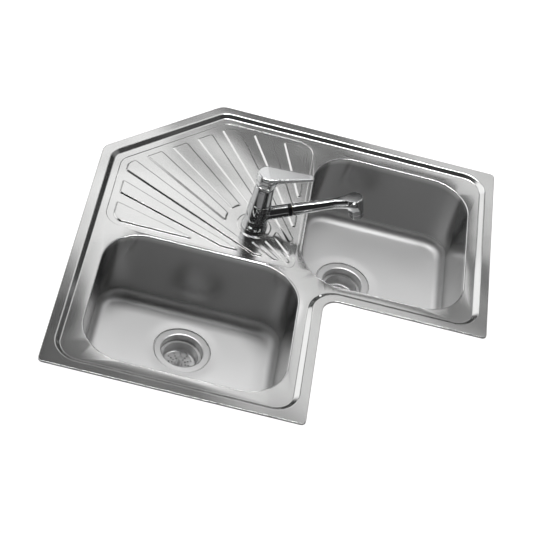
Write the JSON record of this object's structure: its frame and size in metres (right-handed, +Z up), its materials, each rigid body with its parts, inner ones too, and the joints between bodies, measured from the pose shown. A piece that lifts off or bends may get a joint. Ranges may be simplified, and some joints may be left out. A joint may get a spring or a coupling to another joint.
{
  "type": "corner kitchen sink",
  "caption": "Inset stainless corner sink with a bowl on each arm, a fan drainer, lift-out basket strainers and a lever tap whose spray handset pulls out",
  "frame": {"origin": "the sharp inner corner of the notch, in the plane of the worktop that the rim's seal rests on", "axes": "+X to the right along the front edges, +Y to the back, +Z up; the sink's outer corners lie at x -0.5 and 0.33, y -0.33 and 0.5"},
  "size_m": [0.83, 0.83, 0.4275],
  "materials": {
    "sink_steel": "fine satin stainless steel",
    "polished_steel": "turned and polished stainless steel",
    "chrome": "polished chrome plate",
    "zinc_steel": "dull zinc-plated steel",
    "screw_steel": "turned stainless steel",
    "brass": "turned brass",
    "foam": "closed-cell foam",
    "rubber": "black rubber",
    "bitumen": "matt sound-damping sheet",
    "waste_plastic": "moulded plastic",
    "white_plastic": "moulded plastic",
    "black_plastic": "moulded plastic",
    "ceramic": "lapped ceramic"
  },
  "bodies": {
    "root": {"deck_panel": "sink_steel", "left_bowl": "sink_steel", "right_bowl": "sink_steel", "rim_seal": "foam", "clamp_brackets": "zinc_steel", "clamp_hooks": "zinc_steel", "clamp_screws": "zinc_steel", "left_sound_pad": "bitumen", "right_sound_pad": "bitumen", "base_gasket": "rubber", "base_plate": "chrome", "threaded_shank": "brass", "tap_stiffener": "zinc_steel", "rubber_washer": "rubber", "steel_washer": "zinc_steel", "mounting_nut": "brass", "retaining_ring": "chrome", "tap_body": "chrome", "lower_swivel_bush": "white_plastic", "upper_swivel_bush": "black_plastic", "cartridge_base": "white_plastic", "cartridge_body": "white_plastic", "fixed_disc": "ceramic", "cartridge_nut": "brass", "dome_cap": "chrome", "left_strainer_flange": "polished_steel", "left_flange_gasket": "rubber", "left_body_gasket": "rubber", "left_waste_body": "waste_plastic", "left_waste_screw": "screw_steel", "right_strainer_flange": "polished_steel", "right_flange_gasket": "rubber", "right_body_gasket": "rubber", "right_waste_body": "waste_plastic", "right_waste_screw": "screw_steel"},
    "spout": {"spout_collar": "chrome", "docking_ring": "black_plastic"},
    "handset": {"handset_shell": "chrome", "handset_connector": "brass", "nozzle_ring": "chrome", "spray_face": "black_plastic"},
    "carrier": {"lever_carrier": "white_plastic", "carrier_pin": "screw_steel"},
    "lever": {"lever": "chrome", "lever_stem": "screw_steel", "grub_screw": "screw_steel"},
    "disc": {"moving_disc": "ceramic", "disc_driver": "white_plastic"},
    "left_strainer": {"left_basket": "polished_steel", "left_basket_knob": "polished_steel", "left_basket_stopper": "rubber"},
    "right_strainer": {"right_basket": "polished_steel", "right_basket_knob": "polished_steel", "right_basket_stopper": "rubber"}
  },
  "joints": [
    {"name": "spout_swivel", "type": "hinge", "parent": "root", "child": "spout", "pos_m": [-0.16334, 0.16334, 0.0263], "axis": [0, 0, 1], "range_deg": [-140, 15]},
    {"name": "handset_pull", "type": "slide", "parent": "spout", "child": "handset", "axis": [0.9247, 0.2478, 0.289], "range_m": [0, 0.2]},
    {"name": "lever_turn", "type": "hinge", "parent": "root", "child": "carrier", "pos_m": [-0.16334, 0.16334, 0.1023], "axis": [0, 0, 1], "range_deg": [-50, 50]},
    {"name": "lever_lift", "type": "hinge", "parent": "carrier", "child": "lever", "pos_m": [-0.16334, 0.16334, 0.1023], "axis": [0.2588, -0.9659, 0], "range_deg": [0, 24]},
    {"name": "disc_slide", "type": "slide", "parent": "carrier", "child": "disc", "axis": [0.9659, 0.2588, 0], "range_m": [0, 0.0057]},
    {"name": "left_basket_lift", "type": "slide", "parent": "root", "child": "left_strainer", "axis": [0, 0, 1], "range_m": [0, 0.225]},
    {"name": "right_basket_lift", "type": "slide", "parent": "root", "child": "right_strainer", "axis": [0, 0, 1], "range_m": [0, 0.225]}
  ],
  "couplings": [
    {"joint": "disc_slide", "follows": "lever_lift", "m_per_rad": 0.0134}
  ]
}
